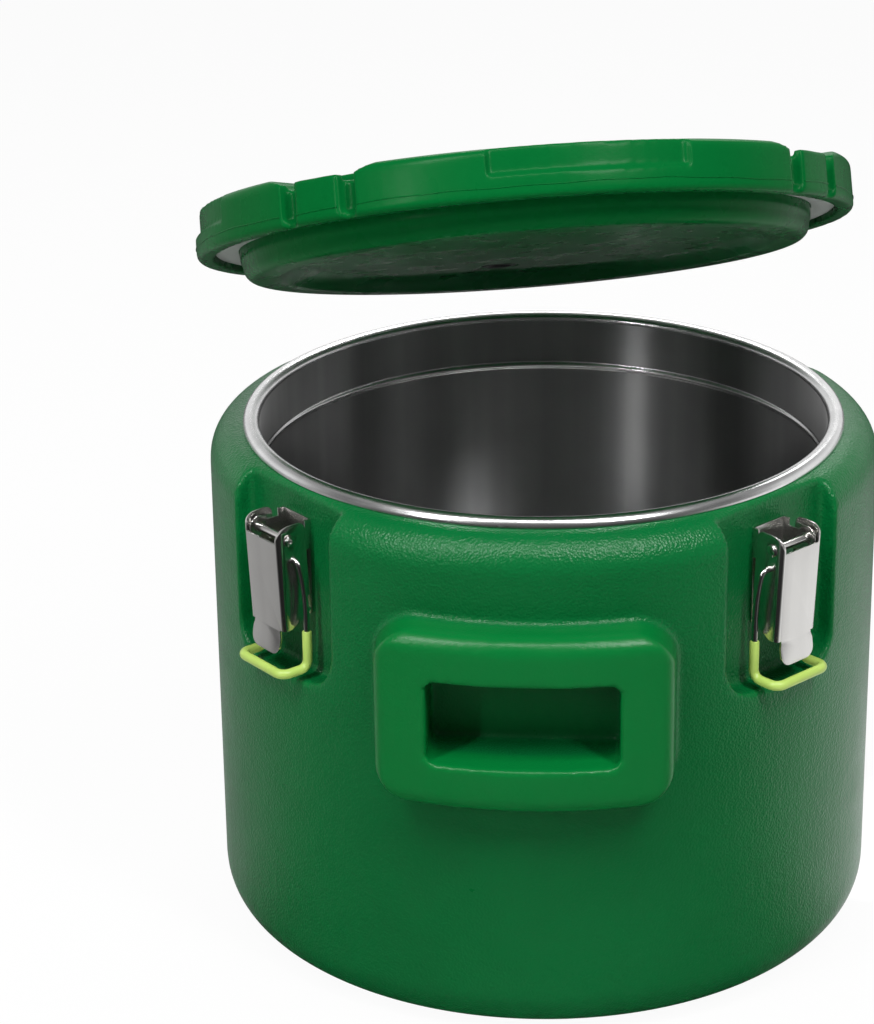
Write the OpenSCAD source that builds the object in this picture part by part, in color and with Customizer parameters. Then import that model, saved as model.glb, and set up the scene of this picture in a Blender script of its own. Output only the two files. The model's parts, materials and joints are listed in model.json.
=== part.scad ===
// Insulated food container: a foamed barrel with a steel liner, a loose lid and four toggle latches.
// Millimetres, +Z up. The origin is the middle of the base, on the surface that the barrel stands on.
// The handle pads face -Y and +Y. The lid is drawn raised and tipped back, as it is lifted off.

/* [Barrel] */
// Inside radius of the liner
liner_r = 187; // [150:1:230]
// Thickness of the barrel wall, from the inside of the liner to the outside of the shell
wall_w = 33; // [31:1:50]
// Height of the shell's top face, which carries the liner's rim
body_h = 342; // [300:1:420]
// Rounding of the shoulder
shoulder_r = 22; // [16:1:22]
// Rounding of the base edge
base_r = 30; // [15:1:40]
// Wall of the moulded shell
shell_t = 5; // [3:0.5:6]
// Thickness of the floor, from the base to the inside of the liner
floor_h = 36; // [25:1:60]
// Gap left between the foam and what surrounds it
foam_gap = 0.3; // [0.1:0.1:0.8]
// Diameter of the plug in the foam filling hole
fill_d = 40; // [25:1:50]
// Distance of the filling hole from the middle of the base
fill_x = 95; // [40:1:110]

/* [Liner] */
// Sheet of the liner
liner_t = 1; // [0.6:0.1:1.5]
// Inside rounding between the liner's wall and floor
liner_corner = 18; // [8:1:30]
// Radius of the half-round rim
rim_r = 5.5; // [4:0.5:6]
// Depth of the bead below the shell's top face
bead_drop = 33; // [15:1:60]
// Height of the bead on the wall
bead_h = 1.4; // [0.8:0.1:2]

/* [Handles] */
// Width of a handle pad
pad_w = 186; // [160:1:190]
// Height of a handle pad
pad_h = 117; // [100:1:135]
// Distance of the middle of a handle pad below the shell's top face
pad_drop = 112; // [102:1:150]
// How far a handle pad stands out from the barrel
pad_out = 27; // [18:1:35]
// Rounding of the corners of a pad, seen from the front
pad_corner = 28; // [14:1:35]
// Rounding of the front edges of a pad
pad_edge = 11; // [8:1:14]
// Width of the hand pocket
grip_w = 118; // [90:1:125]
// Height of the hand pocket
grip_h = 55; // [40:1:66]
// Depth of the hand pocket
grip_depth = 46; // [30:1:47]
// How far the hand pocket sits below the middle of its pad
grip_drop = 0; // [0:1:8]
// Rounding of the corners of the hand pocket
grip_corner = 5; // [4:1:15]

/* [Latch recesses] */
// Angle from the middle of a handle to each latch
latch_az = 47; // [44:1:50]
// Width of a latch recess
recess_w = 96; // [84:1:100]
// Depth of a latch recess at its middle
recess_depth = 19; // [17:0.5:21]
// Length of a latch recess below the shell's top face
recess_l = 120; // [118:1:150]
// Rounding of the lower corners of a latch recess
recess_corner = 20; // [8:1:30]
// Extra wall behind a latch recess, for the inserts
recess_back = 3; // [2:0.5:4]

/* [Latches] */
// Distance of the latch pin below the shell's top face
pin_drop = 25.5; // [22:0.1:30]
// Distance of the latch pin from the flat of its recess
pin_out = 20; // [18:0.1:22]
// Diameter of the latch pin
pin_d = 5; // [4:0.5:6]
// Diameter of the pin's heads
pin_head_d = 8; // [7:0.5:10]
// Running clearance of the pin and of the bail in the lever
run_gap = 0.05; // [0.03:0.01:0.1]
// Side clearance between pieces that turn against each other
side_gap = 0.4; // [0.2:0.1:0.6]
// Sheet of the lever and of the latch base
sheet_t = 1.2; // [1:0.1:1.6]
// Width of the lever
lever_w = 36; // [34:1:42]
// Height of the lever's channel
lever_h = 70; // [64:1:74]
// Depth of the lever's channel
lever_d = 21.5; // [19:0.5:24]
// Bend radius along the lever's front edges
lever_bend = 3; // [2:0.5:4]
// Distance of the pin below the top of the lever
pin_top = 9.5; // [8:0.5:10.5]
// Distance of the pin from the rear edge of the lever
pin_back = 12.8; // [11:0.1:13.5]
// Lean of the closed lever, with its lower end towards the barrel
lever_lean = 3; // [0:0.5:4]
// Width of the thumb tab
tab_w = 29; // [22:1:32]
// Length of the thumb tab
tab_l = 17; // [12:1:20]
// Outward bend of the thumb tab
tab_bend = 12; // [4:1:20]
// Width of the latch base
base_w = 29; // [26:1:29]
// Diameter of a latch screw
screw_d = 4; // [3:0.5:5]
// Diameter of a latch screw's head
screw_head_d = 8; // [7:0.5:9]
// Diameter of a threaded insert
insert_d = 7; // [6.5:0.5:9]
// Distance between the two screws of a latch base
screw_pitch = 28; // [20:1:30]

/* [Bails] */
// Diameter of the bail's wire
bail_d = 3.8; // [3:0.1:4.2]
// Diameter of the soft sleeve
sleeve_d = 6.2; // [5.6:0.1:6.8]
// Distance of the bail's pivot below the latch pin
bail_drop = 14; // [13.5:0.5:18]
// Distance of the bail's pivot behind the latch pin
bail_back = 3.7; // [2:0.1:5]
// Gap between the lever's side and the middle of a bail leg
leg_out = 4.5; // [4:0.1:6]
// Slant of the upper part of a bail leg
leg_slant = 13; // [6:1:16]
// Radius to which the upper part of a bail leg is bent
leg_bow = 150; // [110:5:160]
// Length of the bail's hook
hook_l = 20; // [15:1:22]
// Radius of the bends in the bail
bail_bend = 6; // [5:0.5:8]
// Length of sleeve on each leg
sleeve_up = 25; // [15:1:30]
// How far a bail swings from hanging to latched
bail_swing = 192; // [190:1:194]
// Clearance between the latched sleeve and the lid
latch_gap = 0.3; // [0.2:0.1:0.6]

/* [Lid] */
// How far the lid's rim reaches beyond the inside of the liner
lid_over = 24; // [20:1:26]
// Height of the lid's rim
lid_h = 31; // [28:1:40]
// Rounding of the lid's top edge
lid_edge = 5; // [2:1:6]
// Chamfer of the lid's lower edge
lid_chamfer = 2; // [1:0.5:3]
// Gap between the lid's plug and the liner
plug_gap = 5; // [4.5:0.5:8]
// Depth of the plug below the lid's rim
plug_h = 15; // [12:1:22]
// Rounding of the plug's lower edge
plug_edge = 8; // [4:1:10]
// Lip at the root of the plug
plug_lip = 1.5; // [0.5:0.1:2]
// Width of the flat ring under the plug, inside its rounding
plug_ring = 14; // [8:1:25]
// Depth of the dish in the underside
dish_h = 8; // [3:1:9]
// Width of the curved edge of the dish
dish_run = 22; // [14:1:40]
// Skin of the lid above and below its foam
lid_skin = 4; // [3:0.5:4.5]
// Gap between the closed lid's rim and the shell's top face
lid_lift = 2; // [1.5:0.5:4]
// Thickness of the seal ring
seal_t = 4; // [3:0.5:6]
// Clearance around the seal ring
seal_gap = 0.3; // [0.2:0.1:0.5]
// Width of a bail notch in the lid's wall
notch_w = 11; // [8:0.5:12]
// Depth of a bail notch
notch_depth = 9; // [6:0.5:10]
// Height of the ledge at the foot of a notch
ledge_h = 4; // [2:1:6]
// How far the ledge stands out into its notch
ledge_out = 4; // [2:0.5:5]
// Thickness of the horn between two notches, which a latched bail goes around
horn_t = 6; // [5:0.5:8]
// Depth of the bail's seat behind a horn
seat_depth = 7.5; // [5:0.5:9]
// How far a horn stays below the lid's top
horn_drop = 4; // [2:0.5:5]
// Run of the slope from a horn up to the lid's top
horn_run = 12; // [6:1:16]
// Width of the bail's seat behind a horn
seat_w = 25; // [22:1:30]
// Rounding of the corners of a seat
seat_corner = 4; // [2:0.5:5]
// Angle that a wall recess of the lid spans
scallop_span = 33.5; // [24:0.5:40]
// Depth of a wall recess
scallop_depth = 3.5; // [2:0.5:5]
// Height of the ledge below a wall recess
scallop_z = 14.5; // [10:0.5:20]

/* [Lid grip] */
// Width of the raised rim around the sunken top
rim_w = 55; // [45:1:70]
// Depth of the sunken top
pan_depth = 13; // [10:1:14]
// Run of the sloping edge of the sunken top
pan_slope = 6; // [3:1:10]
// Length of the grip bar
bar_l = 120; // [100:1:140]
// Width of the grip bar
bar_w = 30; // [24:1:36]
// How far the grip bar stays below the rim
bar_drop = 1; // [0:0.5:4]
// Width of a finger well
well_w = 46; // [36:1:50]
// Length of a finger well
well_l = 104; // [90:1:120]
// Depth of a finger well
well_depth = 13; // [8:1:14]
// Rounding of the corners of a finger well
well_corner = 16; // [8:1:18]

/* [Vent] */
// Distance between the grip bar and the flange of the vent bush
vent_gap = 15; // [8:1:24]
// Outside diameter of the vent bush
vent_d = 24; // [20:1:28]
// Bore of the vent bush
vent_bore = 16; // [12:1:18]
// Diameter of the flange of the vent bush
vent_flange = 34; // [32:1:38]
// Thickness of the flange of the vent bush
vent_flange_t = 2.5; // [2:0.5:4]
// Diameter of the vent plug's head
vent_head = 28; // [24:1:32]
// Height of the vent plug's head
vent_head_h = 7; // [5:0.5:9]

/* [Raised lid] */
// Angle by which the lid is tipped up
lid_open = 24.5; // [0:0.5:28]
// Angle by which the raised lid is turned off square
lid_twist = 18; // [0:1:30]
// Distance of the lifting axis behind the barrel's middle
lift_back = 288; // [280:1:300]
// Height of the lifting axis above the shell's top face
lift_up = 82; // [70:1:90]
// Turn of the lifting axis in plan
lift_turn = 15; // [0:1:20]
// Slant of the lifting axis
lift_slant = 6; // [0:1:8]

/* [Hidden] */
$fn = 64;
eps = 0.01;
beyond = 1;
far = 80;
body_r = liner_r + wall_w;
pad_root = body_r - 3 * shell_t;
pad_z = body_h - pad_drop;
flat_r = body_r - recess_depth;
recess_z = body_h - recess_l;
pin_z = body_h - pin_drop;
seat_z = body_h + lid_lift;
lid_r = liner_r + lid_over;
plug_r = liner_r - plug_gap;
rim_top = foam_gap + rim_r - lid_lift;
groove_in = plug_r + plug_lip;
groove_out = liner_r + 2 * rim_r + plug_lip;
groove_h = rim_top + seal_t + 2 * seal_gap;
pan_r = lid_r - rim_w;
pan_z = lid_h - pan_depth;
bar_flat = 2;
dish_r = plug_r - plug_edge - plug_ring;
dish_top = dish_h - plug_h;
dish_flat = dish_r - dish_run;
vent_y = bar_l / 2 + vent_gap + vent_flange / 2;
vent_under = dish_top - dish_h * pow(max(0, vent_y - dish_flat) / dish_run, 2);
cavity_r = plug_r - plug_edge;
latch_turns = [-latch_az, latch_az, 180 - latch_az, 180 + latch_az];
leg_x = lever_w / 2 + leg_out;
knuckle = 0.06;
pivot_straight = 0.5;
pivot_bend = leg_out - pivot_straight;
leg_rear = pivot_bend * sin(leg_slant) + leg_bow * (1 - cos(leg_slant));
bow_end = pivot_bend * cos(leg_slant) + leg_bow * sin(leg_slant);
lever_front = lever_d - pin_back;
lever_foot = pin_top - lever_h;
base_inset = 1;
base_top = pin_top - base_inset;
base_foot = lever_foot + 4 * base_inset;
ear_r = lever_front - sheet_t - side_gap;
ear_foot = -11;
ear_heel = 5;
screw_top = -21;
insert_floor = 1;
insert_l = shell_t + recess_back - insert_floor;
rivet_h = 1.6;
hook_reach = hook_l - leg_rear;
latched_z = seat_z + lid_h - seat_depth + sleeve_d / 2 + latch_gap;
bail_pivot_z = pin_z - bail_drop;
bail_l = (latched_z - bail_pivot_z - hook_reach * sin(bail_swing)) / -cos(bail_swing);
lift_point = [0, lift_back, body_h + lift_up];
lift_axis = [-cos(lift_slant) * cos(lift_turn), -cos(lift_slant) * sin(lift_turn), -sin(lift_slant)];
green = "#0b6b34";
lid_green = "#0d7a3c";
steel = "#c9cbcc";
lime = "#a6c44c";
foam = "#efe6c8";
silicone = "#d6d6d2";
brass = "#b8974a";
dark_plastic = "#2b2e2f";

// Points along an arc about [x, y], from angle a0 to angle a1
function arc(x, y, r, a0, a1, n = 8) =
    [for (i = [0 : n]) let (a = a0 + (a1 - a0) * i / n) [x + r * cos(a), y + r * sin(a)]];

// Rectangle with rounded corners, about the origin
module rounded_rect(w, h, r) {
    square([w - 2 * r, h], center = true);
    square([w, h - 2 * r], center = true);
    for (x = [-1, 1], y = [-1, 1])
        translate([x * (w / 2 - r), y * (h / 2 - r)])
            circle(r);
}

// Half section of the barrel's outside, drawn in by s
module barrel_section(s) {
    r = body_r - s;
    top = body_h - s;
    foot = base_r - s;
    shoulder = shoulder_r - s;
    polygon(concat(
        [[0, s]],
        arc(r - foot, s + foot, foot, -90, 0),
        arc(r - shoulder, top - shoulder, shoulder, 0, 90),
        [[0, top]]
    ));
}

// Half section of a ring that gives a handle pad its rounded upper and lower edges
module pad_section(s) {
    r = body_r + pad_out - s;
    low = pad_z - pad_h / 2 + s;
    high = pad_z + pad_h / 2 - s;
    edge = pad_edge - s;
    polygon(concat(
        [[pad_root, low]],
        arc(r - edge, low + edge, edge, -90, 0, 6),
        arc(r - edge, high - edge, edge, 0, 90, 6),
        [[pad_root, high]]
    ));
}

// Plan of a handle pad with rounded side edges and a little draft
module pad_plan(s) {
    r = body_r + pad_out - s;
    edge = pad_edge - s;
    half = pad_w / 2 - s;
    draft = 1.5;
    x = half - draft / 2 - edge;
    y = -sqrt(pow(r - edge, 2) - x * x);
    turn = asin(x / (r - edge));
    right = arc(x, y, edge, 0, turn - 90, 6);
    reach = r + beyond;
    front = [for (i = [1 : 7]) let (a = turn * (1 - i / 4)) [reach * sin(a), -reach * cos(a)]];
    left = [for (i = [6 : -1 : 0]) [-right[i][0], right[i][1]]];
    polygon(concat([[half + draft, 0]], right, front, left, [[-half - draft, 0]]));
}

// Front handle pad, drawn in by s
module handle_pad(s) {
    intersection() {
        rotate_extrude()
            pad_section(s);
        translate([0, 0, pad_z - pad_h])
            linear_extrude(2 * pad_h)
                pad_plan(s);
        translate([0, 0, pad_z])
            rotate([90, 0, 0])
                linear_extrude(body_r + far)
                    rounded_rect(pad_w - 2 * s, pad_h - 2 * s, pad_corner - s);
    }
}

// Space of the front hand pocket, grown by s
module hand_pocket(s) {
    translate([0, -(body_r + pad_out - grip_depth - s), pad_z - grip_drop])
        rotate([90, 0, 0])
            linear_extrude(far)
                rounded_rect(grip_w + 2 * s, grip_h + 2 * s, grip_corner + s);
}

// Space of a latch recess, grown by s at the sides and by back behind its flat
module latch_recess(s, back) {
    half = recess_w / 2 + s;
    foot = recess_z - s;
    corner = recess_corner + s;
    translate([0, -(flat_r - back), 0])
        rotate([90, 0, 0])
            linear_extrude(far)
                polygon(concat(
                    arc(corner - half, foot + corner, corner, 180, 270, 6),
                    arc(half - corner, foot + corner, corner, 270, 360, 6),
                    [[half, body_h + far], [-half, body_h + far]]
                ));
}

// The barrel with its pads, recesses and pockets, drawn in by s
module barrel_form(s, back) {
    difference() {
        union() {
            rotate_extrude()
                barrel_section(s);
            for (turn = [0, 180])
                rotate([0, 0, turn])
                    handle_pad(s);
        }
        for (turn = [0, 180])
            rotate([0, 0, turn])
                hand_pocket(s);
        for (turn = latch_turns)
            rotate([0, 0, turn])
                latch_recess(s, back);
    }
}

// Half section of the space that the liner takes up to the height top, grown by s
module liner_section(s, top) {
    corner = liner_corner + s;
    polygon(concat(
        [[0, floor_h - s]],
        arc(liner_r + s - corner, floor_h - s + corner, corner, -90, 0),
        [[liner_r + s, top], [0, top]]
    ));
}

// Places a latch piece: the origin is the pin's middle, -Y is outwards
module at_pin(turn) {
    rotate([0, 0, turn])
        translate([0, -flat_r - pin_out, pin_z])
            children();
}

// Places the screws of one latch base: +Z is outwards from the flat of the recess
module at_screws() {
    for (turn = latch_turns, i = [0, 1])
        rotate([0, 0, turn])
            translate([0, -flat_r, pin_z + screw_top - i * screw_pitch])
                rotate([90, 0, 0])
                    children();
}

// Extrudes a side view, drawn as [outwards, up], to the width w
module side_view(w) {
    rotate([90, 0, -90])
        linear_extrude(w, center = true)
            children();
}

// Places a piece of the lid, modelled closed with the rim's underside at height 0
module at_lid() {
    translate(lift_point)
        rotate(a = lid_open, v = lift_axis)
            translate([0, 0, seat_z] - lift_point)
                rotate([0, 0, lid_twist])
                    children();
}

module outer_shell() {
    color(green)
        difference() {
            barrel_form(0, 0);
            barrel_form(shell_t, shell_t + recess_back);
            translate([0, 0, body_h - far])
                cylinder(h = 2 * far, r = liner_r + liner_t + foam_gap, $fn = 128);
            at_screws()
                translate([0, 0, -insert_l])
                    cylinder(h = 2 * insert_l, d = insert_d + 2 * run_gap);
            translate([fill_x, 0, -far])
                cylinder(h = 2 * far, d = fill_d + 2 * run_gap);
        }
}

module insulation_foam() {
    gap = shell_t + foam_gap;
    color(foam)
        difference() {
            barrel_form(gap, gap + recess_back);
            rotate_extrude()
                liner_section(liner_t + foam_gap, body_h);
        }
}

module inner_liner() {
    rim_x = liner_r + rim_r;
    rim_z = body_h + foam_gap;
    bead_z = body_h - bead_drop;
    corner_x = liner_r - liner_corner;
    corner_z = floor_h + liner_corner;
    color(steel)
        rotate_extrude($fn = 128)
            polygon(concat(
                [[0, floor_h]],
                arc(corner_x, corner_z, liner_corner, -90, 0),
                [[liner_r, bead_z - 2 * bead_h], [liner_r - bead_h, bead_z - bead_h / 2]],
                [[liner_r - bead_h, bead_z + bead_h / 2], [liner_r, bead_z + 2 * bead_h]],
                arc(rim_x, rim_z, rim_r, 180, 0, 12),
                arc(rim_x, rim_z, rim_r - liner_t, 0, 180, 12),
                arc(corner_x, corner_z, liner_corner + liner_t, 0, -90),
                [[0, floor_h - liner_t]]
            ));
}

module foam_plug() {
    sunk = 0.5;
    color(green)
        translate([fill_x, 0, sunk])
            cylinder(h = shell_t - sunk, d = fill_d);
}

module latch_inserts() {
    color(brass)
        at_screws()
            translate([0, 0, -insert_l + foam_gap])
                difference() {
                    cylinder(h = insert_l - foam_gap, d = insert_d);
                    translate([0, 0, -beyond])
                        cylinder(h = insert_l + 2 * beyond, d = screw_d + 2 * run_gap);
                }
}

module latch_screws() {
    head_h = 2.2;
    edge = 1;
    color(steel)
        at_screws() {
            translate([0, 0, insert_floor - insert_l])
                cylinder(h = insert_l + sheet_t, d = screw_d);
            translate([0, 0, sheet_t + run_gap])
                rotate_extrude()
                    polygon(concat(
                        [[0, 0]],
                        arc(screw_head_d / 2 - edge, head_h - edge, edge, -90, 90, 6),
                        [[0, head_h]]
                    ));
        }
}

module latch_base(turn) {
    plate_z = (base_top + base_foot) / 2;
    plate_corner = 3;
    neck = ear_r / 2;
    color(steel)
        at_pin(turn)
            difference() {
                union() {
                    translate([0, pin_out, plate_z])
                        rotate([90, 0, 0])
                            linear_extrude(sheet_t)
                                rounded_rect(base_w, base_top - base_foot, plate_corner);
                    for (side = [-1, 1])
                        translate([side * (base_w - sheet_t) / 2, 0, 0])
                            side_view(sheet_t) {
                                circle(ear_r);
                                translate([-pin_out, ear_foot])
                                    square([pin_out, neck - ear_foot]);
                                translate([-pin_out, 0])
                                    square([ear_heel, base_top]);
                            }
                }
                rotate([0, 90, 0])
                    cylinder(h = 2 * base_w, d = pin_d + run_gap, center = true);
                for (i = [0, 1])
                    translate([0, pin_out + beyond, screw_top - i * screw_pitch])
                        rotate([90, 0, 0])
                            cylinder(h = sheet_t + 2 * beyond, d = screw_d + 4 * run_gap);
            }
}

module latch_pin(turn) {
    reach = lever_w / 2 + side_gap / 2;
    roll_wall = 1;
    roll_lip = 0.4;
    color(steel)
        at_pin(turn)
            rotate([0, 90, 0]) {
                difference() {
                    union() {
                        translate([0, 0, -reach])
                            cylinder(h = 2 * reach + rivet_h, d = pin_d);
                        translate([0, 0, reach])
                            cylinder(h = rivet_h - roll_lip, d = pin_head_d - roll_wall);
                    }
                    translate([0, 0, reach - roll_wall])
                        cylinder(h = rivet_h + 2 * roll_wall, d = pin_d - 2 * roll_wall);
                }
                translate([0, 0, -reach])
                    rotate([180, 0, 0])
                        rotate_extrude()
                            polygon(concat(
                                [[0, 0], [pin_head_d / 2, 0]],
                                [for (a = [18 : 18 : 90]) [pin_head_d / 2 * cos(a), rivet_h * sin(a)]]
                            ));
            }
}

// Outline of a lever flange: round about the pin at the top, stepped and notched at the foot
module flange_outline() {
    rear = -pin_back;
    rear_round = 5;
    front_round = 9;
    toe_w = 6;
    toe_h = 9;
    notch_r = 4.5;
    notch_up = 15;
    difference() {
        polygon(concat(
            arc(rear + rear_round, pin_top - rear_round, rear_round, 180, 90, 6),
            arc(lever_front - front_round, pin_top - front_round, front_round, 90, 0, 6),
            [[lever_front, lever_foot], [lever_front - toe_w, lever_foot], [rear, lever_foot + toe_h]]
        ));
        translate([rear, lever_foot + notch_up])
            circle(notch_r);
        circle(d = pin_d + 2 * run_gap);
        rotate(lever_lean)
            translate([-bail_back, -bail_drop])
                circle(d = bail_d + 2 * run_gap);
    }
}

// Plan of the lever's channel, drawn in by s
module channel_plan(s) {
    half = lever_w / 2 - s;
    bend = lever_bend - s;
    front = lever_front - s;
    polygon(concat(
        [[half, -pin_back - s]],
        arc(half - bend, front - bend, bend, 0, 90, 6),
        arc(bend - half, front - bend, bend, 90, 180, 6),
        [[-half, -pin_back - s]]
    ));
}

module latch_lever(turn) {
    plate_top = -0.7;
    tab_round = 7;
    tab_flare = 1;
    neck_low = 5 * tab_flare;
    neck_high = 2 * tab_flare;
    neck_w = tab_w / 2 - tab_flare;
    root = tab_l + sheet_t / 2;
    color(steel)
        at_pin(turn)
            rotate([lever_lean, 0, 0]) {
                difference() {
                    intersection() {
                        translate([0, 0, lever_foot - beyond])
                            linear_extrude(lever_h + 2 * beyond)
                                mirror([0, 1])
                                    difference() {
                                        channel_plan(0);
                                        channel_plan(sheet_t);
                                    }
                        side_view(lever_w + 2 * beyond)
                            flange_outline();
                    }
                    translate([-lever_w / 2 + lever_bend, -lever_front - beyond, plate_top])
                        cube([lever_w - 2 * lever_bend, sheet_t + 3 * beyond, lever_h]);
                }
                translate([0, -lever_front + sheet_t / 2, lever_foot])
                    rotate([-tab_bend, 0, 0])
                        translate([0, sheet_t / 2, -tab_l])
                            rotate([90, 0, 0])
                                linear_extrude(sheet_t)
                                    polygon(concat(
                                        [[neck_w, root], [neck_w, tab_l - neck_high]],
                                        [[tab_w / 2, tab_l - neck_low]],
                                        arc(tab_w / 2 - tab_round, tab_round, tab_round, 0, -90, 6),
                                        arc(tab_round - tab_w / 2, tab_round, tab_round, 270, 180, 6),
                                        [[-tab_w / 2, tab_l - neck_low]],
                                        [[-neck_w, tab_l - neck_high], [-neck_w, root]]
                                    ));
            }
}

// Bend of round rod of radius r, about the origin in the plane XY, from +X over the angle
module rod_bend(r, bend, angle) {
    rotate_extrude(angle = angle)
        translate([bend, 0])
            circle(r);
}

// Both hooks of a bail, from the height top on the legs down to the crossbar.
// A ball a little fatter than the rod joins each bend to the straight rod beside it.
module bail_hooks(r, top) {
    hook_y = leg_rear - hook_l;
    for (side = [0, 1])
        mirror([side, 0, 0]) {
            translate([leg_x, leg_rear, bail_bend - bail_l]) {
                cylinder(h = top + bail_l - bail_bend, r = r);
                sphere(r + knuckle);
            }
            translate([leg_x, leg_rear - bail_bend, bail_bend - bail_l])
                rotate([0, 90, 0])
                    rod_bend(r, bail_bend, 90);
            translate([leg_x, hook_y + bail_bend, -bail_l]) {
                sphere(r + knuckle);
                rotate([-90, 0, 0]) {
                    cylinder(h = hook_l - 2 * bail_bend, r = r);
                    translate([0, 0, hook_l - 2 * bail_bend])
                        sphere(r + knuckle);
                }
            }
            translate([leg_x - bail_bend, hook_y + bail_bend, -bail_l])
                rotate([0, 0, -90])
                    rod_bend(r, bail_bend, 90);
            translate([leg_x - bail_bend, hook_y, -bail_l])
                sphere(r + knuckle);
        }
    translate([0, hook_y, -bail_l])
        rotate([0, 90, 0])
            cylinder(h = 2 * (leg_x - bail_bend), r = r, center = true);
}

// Upper part of one bail leg: its end in the lever's flange, a bend and the bowed stretch
module bail_top(r) {
    inside = lever_w / 2 - 2 * sheet_t;
    rotate([leg_slant, 0, 0]) {
        translate([inside, 0, 0])
            rotate([0, 90, 0])
                cylinder(h = leg_x - pivot_bend - inside, r = r);
        translate([leg_x - pivot_bend, 0, 0])
            sphere(r + knuckle);
        translate([leg_x - pivot_bend, 0, -pivot_bend])
            rotate([90, 0, 0])
                rod_bend(r, pivot_bend, 90);
        translate([leg_x, 0, -pivot_bend])
            sphere(r + knuckle);
    }
    translate([leg_x, leg_rear - leg_bow, -bow_end])
        rotate([0, 90, 0])
            rotate([0, 0, 90])
                rod_bend(r, leg_bow, leg_slant);
    translate([leg_x, leg_rear, -bow_end])
        sphere(r + knuckle);
}

// Places a bail piece: the origin is the bail's pivot
module at_bail(turn) {
    at_pin(turn)
        translate([0, bail_back, -bail_drop])
            children();
}

module bail_wire(turn) {
    color(steel)
        at_bail(turn) {
            for (side = [0, 1])
                mirror([side, 0, 0])
                    bail_top(bail_d / 2);
            bail_hooks(bail_d / 2, -bow_end);
        }
}

module bail_sleeve(turn) {
    color(lime)
        at_bail(turn)
            difference() {
                bail_hooks(sleeve_d / 2, sleeve_up - bail_l);
                bail_hooks(bail_d / 2 + run_gap, sleeve_up - bail_l + beyond);
            }
}

// Half section of the lid, from the dish below to the sunken top
module lid_section() {
    dish = [for (i = [0 : 8]) [dish_flat + dish_run * i / 8, dish_top - dish_h * pow(i / 8, 2)]];
    lip_z = -2 * plug_lip;
    polygon(concat(
        [[0, dish_top]],
        dish,
        arc(plug_r - plug_edge, plug_edge - plug_h, plug_edge, -90, 0),
        [[plug_r, lip_z - plug_lip], [groove_in, lip_z], [groove_in, groove_h]],
        [[groove_out, groove_h], [groove_out, 0], [lid_r - lid_chamfer, 0], [lid_r, lid_chamfer]],
        arc(lid_r - lid_edge, lid_h - lid_edge, lid_edge, 0, 90, 6),
        [[pan_r + pan_slope, lid_h], [pan_r, pan_z], [0, pan_z]]
    ));
}

// Spaces of the two finger wells, grown by s
module finger_wells(s) {
    for (side = [-1, 1])
        translate([side * (bar_w + well_w) / 2, 0, pan_z - well_depth - s])
            linear_extrude(far)
                rounded_rect(well_w + 2 * s, well_l + 2 * s, well_corner + s);
}

// Foam space inside the lid, drawn in by s
module lid_cavity(s) {
    difference() {
        translate([0, 0, dish_top + lid_skin + s])
            cylinder(h = pan_z - dish_top - 2 * lid_skin - 2 * s, r = cavity_r - s, $fn = 128);
        finger_wells(lid_skin + s);
        if (s > 0)
            translate([0, vent_y, -far])
                cylinder(h = 2 * far, d = vent_d + 2 * s);
    }
}

module lid_shell() {
    color(lid_green)
        at_lid()
            difference() {
                union() {
                    rotate_extrude($fn = 128)
                        lid_section();
                    translate([0, 0, pan_z - beyond])
                        linear_extrude(pan_depth - bar_drop + beyond)
                            rounded_rect(bar_w, bar_l, bar_w / 2 - bar_flat / 2);
                }
                finger_wells(0);
                lid_cavity(0);
                translate([0, vent_y, -far])
                    cylinder(h = 2 * far, d = vent_d + 2 * run_gap);
                for (turn = latch_turns)
                    rotate([0, 0, turn]) {
                        bail_seat();
                        for (side = [-1, 1])
                            translate([side * leg_x, 0, 0])
                                bail_notch();
                    }
                for (turn = [0 : 90 : 270])
                    rotate([0, 0, turn - 90 - scallop_span / 2])
                        rotate_extrude(angle = scallop_span)
                            translate([lid_r - scallop_depth, scallop_z])
                                square([2 * scallop_depth, lid_h]);
            }
}

// Round-bottomed notch for one bail leg, with a ledge at its foot
module bail_notch() {
    for (step = [[-beyond, notch_depth - ledge_out], [ledge_h, notch_depth]])
        translate([0, -lid_r + step[1] - notch_w / 2, step[0]])
            linear_extrude(lid_h + 2 * beyond) {
                circle(d = notch_w);
                translate([-notch_w / 2, -far])
                    square([notch_w, far]);
            }
}

// Seat for the crossbar of a bail, behind the lowered horn that stands between its two notches
module bail_seat() {
    half = leg_x + notch_w / 2;
    run = horn_run * (horn_drop + beyond) / horn_drop;
    translate([0, horn_t + seat_w / 2 - lid_r, lid_h - seat_depth])
        linear_extrude(far)
            rounded_rect(2 * half, seat_w, seat_corner);
    translate([0, horn_t + seat_w - lid_r, lid_h])
        rotate([90, 0, 0])
            linear_extrude(horn_t + seat_w + beyond)
                polygon([[half, -horn_drop], [half + run, beyond], [-half - run, beyond], [-half, -horn_drop]]);
}

module lid_foam() {
    color(foam)
        at_lid()
            lid_cavity(foam_gap);
}

module lid_gasket() {
    color(silicone)
        at_lid()
            rotate_extrude($fn = 128)
                translate([groove_in + seal_gap, rim_top + seal_gap])
                    square([groove_out - groove_in - 2 * seal_gap, seal_t]);
}

module vent_bush() {
    flange_z = pan_z + eps;
    color(dark_plastic)
        at_lid()
            translate([0, vent_y, 0])
                rotate_extrude()
                    polygon([
                        [vent_bore / 2, vent_under],
                        [vent_d / 2, vent_under],
                        [vent_d / 2, flange_z],
                        [vent_flange / 2, flange_z],
                        [vent_flange / 2, flange_z + vent_flange_t],
                        [vent_bore / 2, flange_z + vent_flange_t]
                    ]);
}

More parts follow.
